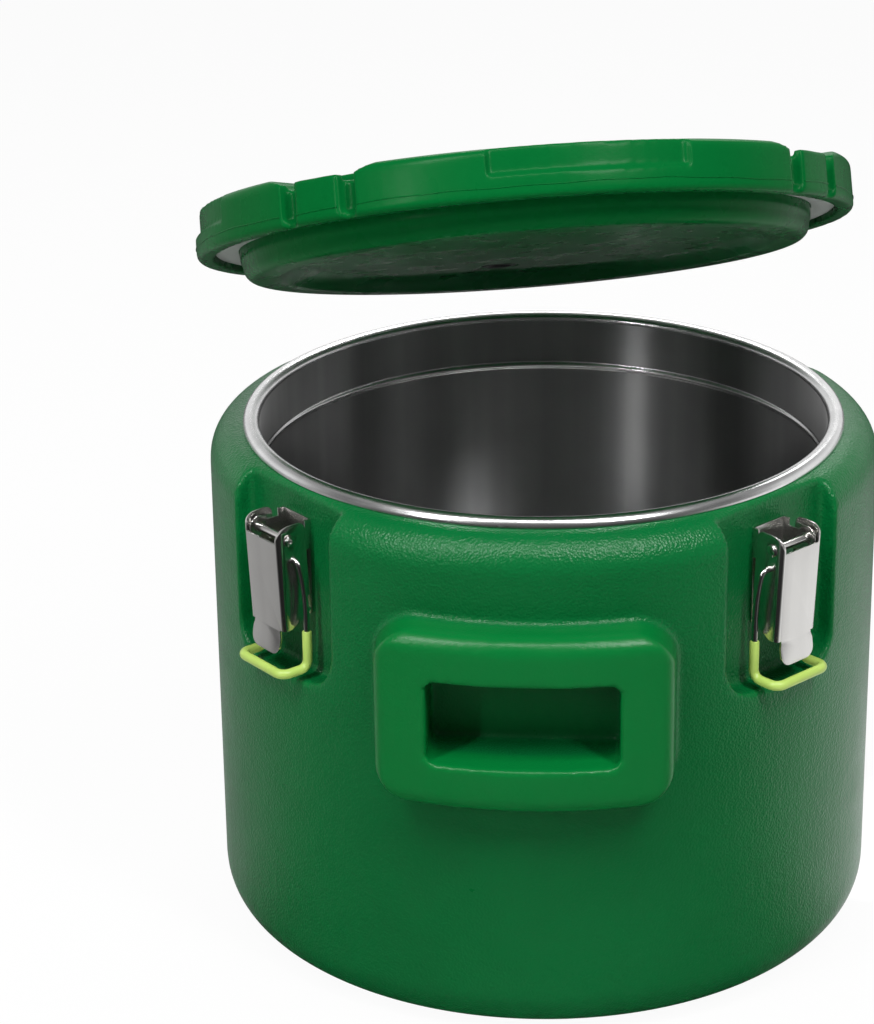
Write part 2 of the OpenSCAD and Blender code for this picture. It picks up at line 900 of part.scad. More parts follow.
module vent_plug() {
    stem_l = 12;
    stem_r = vent_bore / 2 - run_gap;
    stem_chamfer = 1;
    head_edge = 2;
    color(silicone)
        at_lid()
            translate([0, vent_y, pan_z + vent_flange_t + seal_gap])
                rotate_extrude()
                    polygon(concat(
                        [[0, -stem_l], [stem_r - stem_chamfer, -stem_l]],
                        [[stem_r, stem_chamfer - stem_l], [stem_r, 0], [vent_head / 2, 0]],
                        arc(vent_head / 2 - head_edge, vent_head_h - head_edge, head_edge, 0, 90, 6),
                        [[0, vent_head_h]]
                    ));
}

outer_shell();
insulation_foam();
inner_liner();
foam_plug();
latch_inserts();
latch_screws();
for (i = [0 : 3]) {
    latch_base(latch_turns[i]);
    latch_pin(latch_turns[i]);
    latch_lever(latch_turns[i]);
    bail_wire(latch_turns[i]);
    bail_sleeve(latch_turns[i]);
}
lid_gasket();
lid_shell();
lid_foam();
vent_bush();
vent_plug();
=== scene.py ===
# %% [markdown]
# # A moulded food barrel with a steel liner, a loose lid and wire-bail latches
# The construction comes packed from the solid model, and this lesson gives it its looks: soft moulded
# edges, grained plastic, drawn steel and soft studio light. Each step says what the real piece is, how it
# could be made in Blender, and why it is made the way it is.

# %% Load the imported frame
import json
import math

import bpy
import numpy as np
from mathutils import Matrix, Vector


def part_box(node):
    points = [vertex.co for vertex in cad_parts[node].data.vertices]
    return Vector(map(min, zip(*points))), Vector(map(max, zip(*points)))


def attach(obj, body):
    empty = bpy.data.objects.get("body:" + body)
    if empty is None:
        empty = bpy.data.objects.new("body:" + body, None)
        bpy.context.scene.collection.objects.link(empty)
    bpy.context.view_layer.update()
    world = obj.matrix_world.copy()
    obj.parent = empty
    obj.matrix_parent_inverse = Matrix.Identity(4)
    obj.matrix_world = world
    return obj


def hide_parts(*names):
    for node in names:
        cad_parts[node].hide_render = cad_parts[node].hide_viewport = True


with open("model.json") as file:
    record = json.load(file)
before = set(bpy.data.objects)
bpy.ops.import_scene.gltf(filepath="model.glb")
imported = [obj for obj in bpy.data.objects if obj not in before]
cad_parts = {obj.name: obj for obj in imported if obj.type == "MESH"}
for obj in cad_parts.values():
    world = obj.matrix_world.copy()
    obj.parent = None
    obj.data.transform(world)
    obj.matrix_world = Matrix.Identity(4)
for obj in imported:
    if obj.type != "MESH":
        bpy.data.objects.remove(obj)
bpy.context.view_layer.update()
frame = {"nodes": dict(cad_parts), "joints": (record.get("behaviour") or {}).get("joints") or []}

scene = bpy.context.scene
joints = {joint["name"]: joint for joint in frame["joints"]}

# %% [markdown]
# ## Where the pieces are
# Sizes could be typed in again, but then the looks would drift away from the solids. So they are
# measured: the barrel from its own box, the bails and the lid from their joints, which already give a
# point and an axis.

# %% Measure the barrel, the lid and the latches
LATCH_NUMBERS = range(1, 5)
UP = Vector((0, 0, 1))
_, shell_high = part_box("outer_shell")
liner_low, liner_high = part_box("inner_liner")
BODY_R, BODY_H = shell_high.x, shell_high.z
RIM_OUT, RIM_TOP = liner_high.x, liner_high.z


def about(point, axis, degrees):
    """Turn about an axis through a point."""
    point = Vector(point)
    turn = Matrix.Rotation(math.radians(degrees), 4, Vector(axis))
    return Matrix.Translation(point) @ turn @ Matrix.Translation(-point)


def lid_place():
    """Matrix from the lid's own frame, level and square with its rim's underside at 0, to the raised lid."""
    lift, turn = joints["lid_lift"], joints["lid_turn"]
    closing, squaring = lift["range_deg"][0], turn["range_deg"][0]
    seat = about(lift["pos_m"], lift["axis"], closing) @ Vector(turn["pos_m"])
    square = Matrix.Rotation(math.radians(-squaring), 4, UP)
    return about(lift["pos_m"], lift["axis"], -closing) @ Matrix.Translation(seat) @ square


def pivot_place(joint):
    """Matrix at a bail's pivot: X along the pivot, Y towards the barrel, Z up."""
    point = Vector(joint["pos_m"])
    inward = -Vector((point.x, point.y, 0)).normalized()
    along = inward.cross(UP)
    turn = Matrix((along, inward, UP)).transposed()
    return Matrix.Translation(point) @ turn.to_4x4()


def own_points(node, place):
    """The corner points of a solid in a frame of its own."""
    back = place.inverted()
    return [back @ vertex.co for vertex in frame["nodes"][node].data.vertices]


def own_box(node, place):
    """Lowest and highest corner of a solid in a frame of its own."""
    points = own_points(node, place)
    return Vector(map(min, zip(*points))), Vector(map(max, zip(*points)))


LID = lid_place()
PIVOTS = {k: pivot_place(joints[f"bail_{k}_swing"]) for k in LATCH_NUMBERS}
_, lid_high = own_box("lid_shell", LID)
LID_R, LID_H = lid_high.x, lid_high.z
print(f"barrel {2000 * BODY_R:.0f} x {1000 * BODY_H:.0f} mm, lid {2000 * LID_R:.0f} x {1000 * LID_H:.0f} mm")

# %% [markdown]
# ## The camera
# The view is a long lens from in front and a little above. It could be set up by eye, but the ellipse of
# the rim fixes distance and tilt well, so the camera is written as a few sizes: a distance, a height to
# aim at, and angles.

# %% Place the camera
CAMERA_DISTANCE = 2.198
CAMERA_ELEVATION = 24.13
AIM_HEIGHT = 0.2
PAN = -1.87
TILT = 1.73
BARREL_TURN = 3.0
SENSOR = 36.0
FOCAL_PIXELS = 3243
IMAGE_LONG_SIDE = 1024


def turn_about(axis, degrees):
    """Turn about one of the three main axes."""
    return Matrix.Rotation(math.radians(degrees), 4, axis)


camera = bpy.data.objects.new("camera", bpy.data.cameras.new("camera"))
camera.data.sensor_width = SENSOR
camera.data.lens = SENSOR * FOCAL_PIXELS / IMAGE_LONG_SIDE
orbit = turn_about("Z", BARREL_TURN) @ Matrix.Translation((0, 0, AIM_HEIGHT))
orbit = orbit @ turn_about("X", 90 - CAMERA_ELEVATION)
aim = turn_about("Y", -PAN) @ turn_about("X", TILT)
camera.matrix_world = orbit @ Matrix.Translation((0, 0, CAMERA_DISTANCE)) @ aim
scene.collection.objects.link(camera)
scene.camera = camera
print("camera at", [round(value, 3) for value in camera.matrix_world.translation])

# %% [markdown]
# ## Shader nodes in short words
# Every finish below is a small network of nodes. Each node could be placed and wired line by line, but
# the same few moves come back all the time: add a node, fill a socket, do a sum, look up a grey, mix two
# shaders. So each move gets a helper with a short name, and a finish then reads almost like a sentence.

# %% Helpers for shader nodes
WHITE = (1, 1, 1, 1)


def new_finish(name):
    """A new material with its tree and its shader."""
    material = bpy.data.materials.new(name)
    material.use_nodes = True
    return material, material.node_tree, material.node_tree.nodes["Principled BSDF"]


def feed(tree, slot, value):
    """Links another node's socket to an input, or sets the input to a constant."""
    if isinstance(value, bpy.types.NodeSocket):
        tree.links.new(value, slot)
    else:
        slot.default_value = value


def add_node(tree, kind, inputs=(), **settings):
    """A new shader node with some settings and sockets filled in."""
    node = tree.nodes.new(kind)
    for name, value in settings.items():
        setattr(node, name, value)
    for name, value in dict(inputs).items():
        feed(tree, node.inputs[name], value)
    return node


def add_math(tree, operation, *values):
    """The result of a sum whose inputs are sockets or numbers."""
    node = add_node(tree, "ShaderNodeMath", operation=operation)
    for slot, value in zip(node.inputs, values):
        feed(tree, slot, value)
    return node.outputs[0]


def add_ramp(tree, fac, greys):
    """Looks up a grey between stops of (position, grey)."""
    ramp = add_node(tree, "ShaderNodeValToRGB", {"Fac": fac})
    elements = ramp.color_ramp.elements
    for position, _ in greys[len(elements):]:
        elements.new(position)
    for element, (position, grey) in zip(elements, greys):
        element.position = position
        element.color = (grey, grey, grey, 1)
    return ramp.outputs["Color"]


def split_axes(tree, vector):
    """The parts of a vector, by the names X, Y and Z."""
    return add_node(tree, "ShaderNodeSeparateXYZ", {"Vector": vector}).outputs


def object_space(tree):
    """Places in the object's own space."""
    return tree.nodes.new("ShaderNodeTexCoord").outputs["Object"]


def rays(tree):
    """Two sockets: 1 for rays from the camera, and 1 for rays of a reflection or through glass."""
    path = tree.nodes.new("ShaderNodeLightPath").outputs
    mirrored = add_math(tree, "MAXIMUM", path["Is Glossy Ray"], path["Is Transmission Ray"])
    return path["Is Camera Ray"], mirrored


def show_mix(tree, fac, first, second, output):
    """Sends a mix of two shaders to the output node."""
    mix = add_node(tree, "ShaderNodeMixShader", {"Fac": fac})
    tree.links.new(first.outputs[0], mix.inputs[1])
    tree.links.new(second.outputs[0], mix.inputs[2])
    tree.links.new(mix.outputs[0], tree.nodes[output].inputs["Surface"])


print("helpers for shader nodes are ready")

# %% [markdown]
# ## The room
# What steel and plastic reflect is a studio: bright behind the barrel, dark in front and overhead. A
# picture of a room could be wrapped around the scene, but two ramps, one over depth and one over height,
# give the same soft change from light to dark. Only reflections see them. The camera sees white, and all
# else gets a faint even light.

# %% Build the room
AMBIENT = 0.13
ROOM_SHADES = [(0.0, 0.06), (0.45, 0.2), (0.62, 1.0)]
HEIGHT_SHADES = [(0.0, 1.0), (0.3, 0.95), (0.6, 0.35), (1.0, 0.2)]


def make_room():
    """Even light, a white background for the camera, and a shaded room for reflections."""
    world = bpy.data.worlds.new("studio")
    world.use_nodes = True
    tree = world.node_tree
    light = tree.nodes["Background"]
    light.inputs["Color"].default_value = WHITE
    light.inputs["Strength"].default_value = AMBIENT
    way = split_axes(tree, tree.nodes.new("ShaderNodeTexCoord").outputs["Generated"])
    # Front to back, from -1..1 to 0..1
    depth = add_math(tree, "MULTIPLY_ADD", way["Y"], 0.5, 0.5)
    darkening = add_ramp(tree, way["Z"], HEIGHT_SHADES)
    shade = add_math(tree, "MULTIPLY", add_ramp(tree, depth, ROOM_SHADES), darkening)
    seen, mirrored = rays(tree)
    brightness = add_math(tree, "MAXIMUM", shade, seen)
    room = add_node(tree, "ShaderNodeBackground", {"Color": WHITE, "Strength": brightness})
    show_mix(tree, add_math(tree, "MAXIMUM", seen, mirrored), light, room, "World Output")
    return world


scene.world = make_room()
scene.view_settings.view_transform = "Standard"
print("room:", len(scene.world.node_tree.nodes), "nodes")

# %% [markdown]
# ## The floor
# A packshot stands on a white sweep. More light on the floor would also wash out the green, so the floor
# is lit like everything else, and only the rays that look at it, straight or by a reflection, see
# something else: the camera sees it near white, and reflections see a pale board on each side of it.

# %% Lay the floor
FLOOR_SIZE = 30.0
FLOOR_LIFT = 0.95
PAPER_GREY = (0.8, 0.8, 0.8, 1)
PAPER_ROUGHNESS = 0.9
BOARD_SHADES = [(0.5, 0.02), (0.75, 0.16), (0.97, 0.75)]
BOARD_FRONT = 0.25
BOARD_RIGHT = 0.42


def sweep_paper():
    """White paper that keeps shadows, with a pale board left and right that only reflections see."""
    material, tree, paper = new_finish("sweep")
    paper.inputs["Base Color"].default_value = PAPER_GREY
    paper.inputs["Roughness"].default_value = PAPER_ROUGHNESS
    around = add_node(tree, "ShaderNodeVectorMath", operation="NORMALIZE")
    tree.links.new(object_space(tree), around.inputs[0])
    way = split_axes(tree, around.outputs["Vector"])
    side = add_math(tree, "MULTIPLY_ADD", way["Y"], BOARD_FRONT, add_math(tree, "ABSOLUTE", way["X"]))
    right = add_math(tree, "MULTIPLY_ADD", way["X"], BOARD_RIGHT, 1.0)
    board = add_math(tree, "MULTIPLY", add_ramp(tree, side, BOARD_SHADES), right)
    seen, mirrored = rays(tree)
    brightness = add_math(tree, "MAXIMUM", board, seen)
    glow = add_node(tree, "ShaderNodeEmission", {"Color": WHITE, "Strength": brightness})
    lifted = add_math(tree, "MULTIPLY", seen, FLOOR_LIFT)
    show_mix(tree, add_math(tree, "MAXIMUM", lifted, mirrored), paper, glow, "Material Output")
    return material


half = FLOOR_SIZE / 2
corners = [(-half, -half, 0), (half, -half, 0), (half, half, 0), (-half, half, 0)]
floor_mesh = bpy.data.meshes.new("floor")
floor_mesh.from_pydata(corners, [], [(0, 1, 2, 3)])
floor_mesh.materials.append(sweep_paper())
floor = bpy.data.objects.new("floor", floor_mesh)
scene.collection.objects.link(floor)
print("floor:", FLOOR_SIZE, "m wide")

# %% [markdown]
# ## The lamps
# Large soft boxes could light everything evenly, but steel then looks flat. Two slim lamps stand high in
# front, left and right. With a third, low one, whose light comes in under the lid, they give the liner
# its upright streaks. A strip of light hangs across the top and draws a thin bright line along each
# rounded edge, and one behind parts the lid from the background.

# %% Hang the soft boxes
LAMP_TARGET = Vector((0, 0, 0.25))
LAMPS = {
    "key_left": {"place": (-0.92, -1.15, 2.0), "size": (0.2, 0.8), "watts": 21},
    "low_left": {"place": (-1.3, -1.65, 1.2), "size": (0.08, 0.5), "watts": 6},
    "key_right": {"place": (0.92, -1.2, 2.0), "size": (0.25, 0.8), "watts": 24},
    "top_front": {"place": (0.2, -0.9, 2.5), "size": (1.4, 0.25), "watts": 20},
    "top_back": {"place": (0.1, 1.5, 1.7), "size": (1.6, 0.4), "watts": 16},
}


def soft_box(name, place, size, watts):
    """A rectangular lamp that faces the barrel."""
    lamp = bpy.data.lights.new(name, "AREA")
    lamp.shape = "RECTANGLE"
    lamp.size, lamp.size_y = size
    lamp.energy = watts
    box = bpy.data.objects.new(name, lamp)
    box.location = place
    box.rotation_euler = (LAMP_TARGET - Vector(place)).to_track_quat("-Z", "Y").to_euler()
    scene.collection.objects.link(box)


for name, lamp in LAMPS.items():
    soft_box(name, **lamp)
print("soft boxes:", ", ".join(LAMPS))

# %% [markdown]
# ## Noise, colour and bump
# Nothing moulded or pressed is quite even. A painted texture would need unwrapping, and noise in the
# object's own space doesn't. It varies colour and gloss a little, and as a bump it gives the light a
# surface to break on.

# %% Helpers for uneven finishes
MIX_FACTOR, MIX_FIRST, MIX_SECOND, MIX_RESULT = 0, 6, 7, 2


def add_noise(tree, scale, detail, vector=None):
    """Cloudy noise in the object's own space, or in a space that is given."""
    noise = add_node(tree, "ShaderNodeTexNoise", {"Scale": scale, "Detail": detail})
    tree.links.new(vector or object_space(tree), noise.inputs["Vector"])
    return noise.outputs["Fac"]


def add_noise_along(tree, scale, detail, position):
    """Noise along a single value, such as a radius or an angle."""
    noise = add_node(tree, "ShaderNodeTexNoise", {"Scale": scale, "Detail": detail}, noise_dimensions="1D")
    tree.links.new(position, noise.inputs["W"])
    return noise.outputs["Fac"]


def blend_colours(tree, fac, first, second):
    """Mixes two colours, each a constant or a socket."""
    mix = add_node(tree, "ShaderNodeMix", data_type="RGBA")
    for slot, value in ((MIX_FACTOR, fac), (MIX_FIRST, first), (MIX_SECOND, second)):
        feed(tree, mix.inputs[slot], value)
    return mix.outputs[MIX_RESULT]


def spread(tree, fac, low, high):
    """Maps a value from 0..1 to low..high."""
    return add_math(tree, "MULTIPLY_ADD", fac, high - low, low)


def add_bump(tree, shader, height, distance):
    """Lets a height value tilt the light on the surface."""
    bump = add_node(tree, "ShaderNodeBump", {"Strength": 1.0, "Distance": distance, "Height": height})
    tree.links.new(bump.outputs["Normal"], shader.inputs["Normal"])


def stored_value(tree, name):
    """A value that is kept for each vertex of the mesh."""
    return add_node(tree, "ShaderNodeAttribute", attribute_name=name).outputs["Fac"]


print("helpers for uneven finishes are ready")

# %% [markdown]
# ## Grained green plastic
# Rotomoulded polyethylene copies the etched inside of its mould: a fine leather-like grain, a satin gloss
# and a slightly uneven colour. A picture of the grain could be wrapped around it, but cells and noise in
# the object's own space keep their size on every side. The lid comes out much smoother than the barrel,
# so it has a finish of its own with less grain. On the handle pads a value stored on the mesh scales the
# grain down and brings in a lighter green. That green is painted light, standing in for the light on the
# pads' tops. A second stored value, the distance from the lid's axis, draws the fine rings that the turned
# mould leaves on the underside of the lid.

# %% Finishes for the moulded plastic
GREEN_DARK = (0.0008, 0.112, 0.025, 1)
GREEN_LIGHT = (0.0015, 0.148, 0.035, 1)
LID_DARK = (0.0006, 0.098, 0.018, 1)
LID_LIGHT = (0.001, 0.124, 0.025, 1)
# The pads' lighter green is painted light: it stands in for the light that falls on their tops and is not a
# colour of their own.
PAD_PAINTED_LIGHT_GREEN = (0.0008, 0.155, 0.029, 1)
COLOUR_CLOUDS = {"scale": 9, "detail": 3}
GLOSS_PATCHES = {"scale": 45, "detail": 5}
WALL_WAVES = {"scale": 28, "detail": 2}
FINE_GRAIN = {"scale": 248, "detail": 3}
TURNED_RINGS = {"scale": 650, "detail": 2}
RING_SHARE = 0.06
GRAIN_CELLS = 620
GRAIN_DEPTH = 0.0003
PAD_GRAIN = 0.25
PAD_SMOOTH_AND_PAINTED_LIGHT_ZONE = "pad_smooth_and_painted_light_zone"
RING_RADIUS = "ring_radius"


def moulded_plastic(name, dark, light, roughness, specular, grain, wave):
    """Green plastic with a cell grain over a faint waviness of the wall."""
    material, tree, shader = new_finish(name)
    pad_mask = stored_value(tree, PAD_SMOOTH_AND_PAINTED_LIGHT_ZONE)
    wall = blend_colours(tree, add_noise(tree, **COLOUR_CLOUDS), dark, light)
    # Painted light: on the pads, the wall's colour gives way to the lighter green.
    tree.links.new(blend_colours(tree, pad_mask, wall, PAD_PAINTED_LIGHT_GREEN), shader.inputs["Base Color"])
    tree.links.new(spread(tree, add_noise(tree, **GLOSS_PATCHES), *roughness), shader.inputs["Roughness"])
    shader.inputs["Specular IOR Level"].default_value = specular
    cells = add_node(tree, "ShaderNodeTexVoronoi", {"Scale": GRAIN_CELLS}, feature="F1")
    tree.links.new(object_space(tree), cells.inputs["Vector"])
    grained = add_math(tree, "ADD", cells.outputs["Distance"], add_noise(tree, **FINE_GRAIN))
    depth = add_math(tree, "MULTIPLY", spread(tree, pad_mask, 1.0, PAD_GRAIN), grain)
    wavy = add_math(tree, "MULTIPLY", add_noise(tree, **WALL_WAVES), wave)
    height = add_math(tree, "MULTIPLY_ADD", grained, depth, wavy)
    rings = add_noise_along(tree, **TURNED_RINGS, position=stored_value(tree, RING_RADIUS))
    add_bump(tree, shader, add_math(tree, "MULTIPLY_ADD", rings, RING_SHARE, height), GRAIN_DEPTH)
    return material


body_green = moulded_plastic("body_green", GREEN_DARK, GREEN_LIGHT, roughness=(0.24, 0.36), specular=0.25,
                             grain=1.0, wave=1.5)
lid_green = moulded_plastic("lid_green", LID_DARK, LID_LIGHT, roughness=(0.22, 0.34), specular=0.06,
                            grain=0.08, wave=0.12)
print("moulded finishes:", body_green.name, lid_green.name)

# %% [markdown]
# ## Soft moulded edges
# The solid has true walls, but its edges are as sharp as a saw cut, and a rotomoulded wall has none:
# powder that melts against a hot mould flows round every corner. A bevel would fail where three cuts meet
# at the shoulder. So the solid is turned into small even quads and those are relaxed, which leaves flat
# and round faces where they are and rounds every edge, inside and out.

# %% Helpers for moulded pieces
RELAX_STEP = 0.5
RELAX_PASSES = 8


def moulded_copy(node, name, voxel, place=Matrix.Identity(4)):
    """A new object: the node's solid in small quads, relaxed in its own frame until its edges are round."""
    mesh = frame["nodes"][node].data.copy()
    mesh.transform(place.inverted())
    piece = bpy.data.objects.new(name, mesh)
    scene.collection.objects.link(piece)
    quads = piece.modifiers.new("small_quads", "REMESH")
    quads.mode = "VOXEL"
    quads.voxel_size = voxel
    relax = piece.modifiers.new("round_edges", "SMOOTH")
    relax.factor = RELAX_STEP
    relax.iterations = RELAX_PASSES
    depsgraph = bpy.context.evaluated_depsgraph_get()
    final = bpy.data.meshes.new_from_object(piece.evaluated_get(depsgraph))
    piece.modifiers.clear()
    piece.data = final
    final.name = name
    final.materials.clear()
    final.shade_smooth()
    return piece


def vertex_array(mesh):
    """All vertices of a mesh as rows of x, y and z."""
    points = np.empty(len(mesh.vertices) * 3)
    mesh.vertices.foreach_get("co", points)
    return points.reshape(-1, 3)


def reach_of(points):
    """Distance of each point from the upright axis."""
    return np.hypot(points[:, 0], points[:, 1])


def store_value(mesh, name, values):
    """Keeps one value per vertex for the finish to read."""
    zone = mesh.attributes.new(name, "FLOAT", "POINT")
    zone.data.foreach_set("value", np.ascontiguousarray(values, dtype=np.float32))


def ease(values, low, high):
    """0 below low, 1 above high, with a soft step between."""
    step = np.clip((values - low) / (high - low), 0, 1)
    return step * step * (3 - 2 * step)


print("moulded edges: quads relaxed", RELAX_PASSES, "times")

# %% [markdown]
# ## The barrel
# The barrel is one hollow moulding. Its handle pads stand out of the round wall, so the distance from the
# axis tells them from the wall, without a painted mask. A soft step over that distance is stored as the
# pad zone, where the grain is finer and a lighter green is painted light on the pads.

# %% Round off the barrel
SHELL_VOXEL = 0.0019
PAD_START, PAD_FULL = 0.001, 0.008

barrel = moulded_copy("outer_shell", "barrel_shell", SHELL_VOXEL)
reach = reach_of(vertex_array(barrel.data))
# The pad zone thins the grain and brings in the pads' lighter green, which is painted light.
store_value(barrel.data, PAD_SMOOTH_AND_PAINTED_LIGHT_ZONE, ease(reach, BODY_R + PAD_START, BODY_R + PAD_FULL))
barrel.data.materials.append(body_green)
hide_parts("outer_shell")
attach(barrel, "container")
print("barrel shell:", len(barrel.data.polygons), "faces")

# %% [markdown]
# ## Drawn and polished steel
# The liner is drawn from sheet and brushed while it turns. Its wall keeps fine lines that run round it,
# so a lamp smears into upright streaks, while the rolled rim is polished bright. Latches are pressed from
# bright sheet with a faint brush. A plain mirror would look like chrome, so each steel has its own brush
# lines and an uneven gloss.

# %% Finishes for the steel
BRUSH_DETAIL = 5
BRUSH_STRETCH = 2.0
STEEL_CLOUDS = {"scale": 14, "detail": 4}
STEEL_BANDS = {"scale": 7, "detail": 3}
BAND_SHADE = 0.7
MOTTLE_GAIN = 2.0
STREAK_TURN = 0.25
BRUSH_DEPTH = 0.00002
FINE_BRUSH_DEPTH = 0.00001


def brushed_metal(name, colour, roughness, lines, depth, around=True, anisotropy=0.0):
    """Metal with brush lines round the barrel's axis, or along it."""
    material, tree, shader = new_finish(name)
    where = split_axes(tree, object_space(tree))
    turn = add_math(tree, "ARCTAN2", where["Y"], where["X"])
    along, across = (turn, where["Z"]) if around else (where["Z"], turn)
    stretched = {"X": add_math(tree, "MULTIPLY", along, BRUSH_STRETCH),
                 "Y": add_math(tree, "MULTIPLY", across, lines)}
    brush_space = add_node(tree, "ShaderNodeCombineXYZ", stretched).outputs[0]
    brush = add_noise(tree, 1.0, BRUSH_DETAIL, brush_space)
    cloud = add_noise(tree, **STEEL_CLOUDS)
    bands = add_noise_along(tree, **STEEL_BANDS, position=turn)
    mottle = add_math(tree, "MULTIPLY", add_math(tree, "MULTIPLY", cloud, bands), MOTTLE_GAIN)
    shade = (*(BAND_SHADE * value for value in colour), 1)
    tree.links.new(blend_colours(tree, mottle, shade, (*colour, 1)), shader.inputs["Base Color"])
    gloss = add_math(tree, "MULTIPLY", add_math(tree, "ADD", brush, cloud), 0.5)
    tree.links.new(spread(tree, gloss, *roughness), shader.inputs["Roughness"])
    shader.inputs["Metallic"].default_value = 1.0
    if anisotropy:
        shader.inputs["Anisotropic"].default_value = anisotropy
        shader.inputs["Anisotropic Rotation"].default_value = STREAK_TURN
        tangent = add_node(tree, "ShaderNodeTangent", direction_type="RADIAL", axis="Z")
        tree.links.new(tangent.outputs[0], shader.inputs["Tangent"])
    add_bump(tree, shader, brush, depth)
    return material


# Painted shade: the wall's steel is darker than the sheet would be, standing in for the shade inside the
# pot.
liner_steel = brushed_metal("liner_steel", (0.42, 0.42, 0.42), roughness=(0.4, 0.5), lines=900,
                            depth=BRUSH_DEPTH, anisotropy=1.0)
# Painted light: the floor's steel is lighter than the wall's, standing in for the light gathered on the
# bottom.
floor_steel_painted_light = brushed_metal("floor_steel_painted_light", (0.7, 0.7, 0.7), roughness=(0.3, 0.42), lines=500,
                            depth=BRUSH_DEPTH)
rim_steel = brushed_metal("rim_steel", (0.86, 0.86, 0.86), roughness=(0.2, 0.32), lines=700,
                          depth=FINE_BRUSH_DEPTH)
latch_steel = brushed_metal("latch_steel", (0.76, 0.75, 0.73), roughness=(0.14, 0.3), lines=260,
                            depth=FINE_BRUSH_DEPTH, around=False)
steels = (liner_steel, floor_steel_painted_light, rim_steel, latch_steel)
print("steel finishes:", ", ".join(steel.name for steel in steels))

# %% [markdown]
# ## A lathe
# Liner and seal ring are round. Their solids have facets, which would show in a mirror-like rim, and more
# facets would make the solids heavy. So both are turned again on a small lathe: a profile with true arcs,
# spun in many steps.

# %% Helpers for turned pieces
SPIN_STEPS = 360
ARC_STEPS = 12
SHARP_TURN = 35.0
ON_AXIS = 1e-7


def arc(x, z, radius, start, end, steps=ARC_STEPS):
    """Profile points along an arc."""
    angles = [math.radians(start + (end - start) * i / steps) for i in range(steps + 1)]
    return [(x + radius * math.cos(a), z + radius * math.sin(a)) for a in angles]


def spin(name, profile, closed):
    """Turns a profile of (radius, height) points about Z. Points on the axis become one vertex."""
    vertices, rings, faces = [], [], []
    for radius, height in profile:
        if radius < ON_AXIS:
            rings.append([len(vertices)] * SPIN_STEPS)
            vertices.append((0, 0, height))
            continue
        rings.append(list(range(len(vertices), len(vertices) + SPIN_STEPS)))
        for i in range(SPIN_STEPS):
            angle = 2 * math.pi * i / SPIN_STEPS
            vertices.append((radius * math.cos(angle), radius * math.sin(angle), height))
    following = rings[1:] + rings[:1] if closed else rings[1:]
    for low, high in zip(rings, following):
        for i in range(SPIN_STEPS):
            n = (i + 1) % SPIN_STEPS
            corners = list(dict.fromkeys((low[i], low[n], high[n], high[i])))
            if len(corners) > 2:
                faces.append(corners)
    mesh = bpy.data.meshes.new(name)
    mesh.from_pydata(vertices, [], faces)
    mesh.validate()
    mesh.shade_smooth()
    mesh.set_sharp_from_angle(angle=math.radians(SHARP_TURN))
    piece = bpy.data.objects.new(name, mesh)
    scene.collection.objects.link(piece)
    return piece


print("lathe:", SPIN_STEPS, "steps to a turn")

# %% [markdown]
# ## The liner
# The pot is one deep-drawn sheet: floor, corner, wall with a bead, and a rim rolled over half a turn. It
# could have one steel all over, but bead and rim are polished and the floor shows no streaks, so each
# face picks its steel by its height. The wall's steel is also darker, and the floor's lighter, than one
# sheet would be: painted shade inside the pot and painted light on its bottom.

# %% Spin the liner
RIM_R = 0.0055
RIM_STEPS = 24
LINER_R = RIM_OUT - 2 * RIM_R
SHEET = 0.001
LINER_CORNER = 0.018
BEAD_DROP = 0.033
BEAD_H = 0.0014
BEAD_STEP = 30
POLISH_DROP = 0.001
WALL, POLISHED, FLOOR = 0, 1, 2
BEAD_Z = BODY_H - BEAD_DROP


def liner_profile():
    """From the middle of the floor inside, up the wall, over the rim and back down outside."""
    floor_z = liner_low.z + SHEET
    rim_x, rim_z = LINER_R + RIM_R, RIM_TOP - RIM_R
    corner_x, corner_z = LINER_R - LINER_CORNER, floor_z + LINER_CORNER
    bead = [(LINER_R - BEAD_H * 0.5 * (1 + math.cos(math.radians(a))), BEAD_Z + 2 * BEAD_H * a / 180)
            for a in range(-180, 181, BEAD_STEP)]
    inside = [(0, floor_z)] + arc(corner_x, corner_z, LINER_CORNER, -90, 0) + bead
    rim = arc(rim_x, rim_z, RIM_R, 180, 0, RIM_STEPS) + arc(rim_x, rim_z, RIM_R - SHEET, 0, 180, RIM_STEPS)
    outside = arc(corner_x, corner_z, LINER_CORNER + SHEET, 0, -90)
    return inside + rim + outside + [(0, liner_low.z)]


def steel_at(height):
    """The steel that a face of the liner gets at its height."""
    if abs(height - BEAD_Z) < 2 * BEAD_H or height > BODY_H - POLISH_DROP:
        return POLISHED
    return FLOOR if height < liner_low.z + LINER_CORNER else WALL


liner = spin("steel_liner", liner_profile(), closed=False)
for steel in (liner_steel, rim_steel, floor_steel_painted_light):
    liner.data.materials.append(steel)
for face in liner.data.polygons:
    face.material_index = steel_at(face.center.z)
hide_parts("inner_liner")
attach(liner, "container")
print("liner:", len(liner.data.polygons), "faces, rim top at", round(RIM_TOP, 4))

# %% [markdown]
# ## The lid
# The lid is moulded like the barrel, so it gets its soft edges the same way, but in finer quads, because
# its notches and lips are small. It is relaxed in its own level frame, so that the quads follow its
# rings, and then put back in its raised place.

# %% Round off the lid
LID_VOXEL = 0.0014

lid = moulded_copy("lid_shell", "lid_cover", LID_VOXEL, LID)
points = vertex_array(lid.data)
below = points[:, 2] < 0
store_value(lid.data, RING_RADIUS, np.where(below, reach_of(points), 0))
lid.data.transform(LID)
lid.data.materials.append(lid_green)
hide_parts("lid_shell")
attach(lid, "lid")
print("lid cover:", len(lid.data.polygons), "faces")

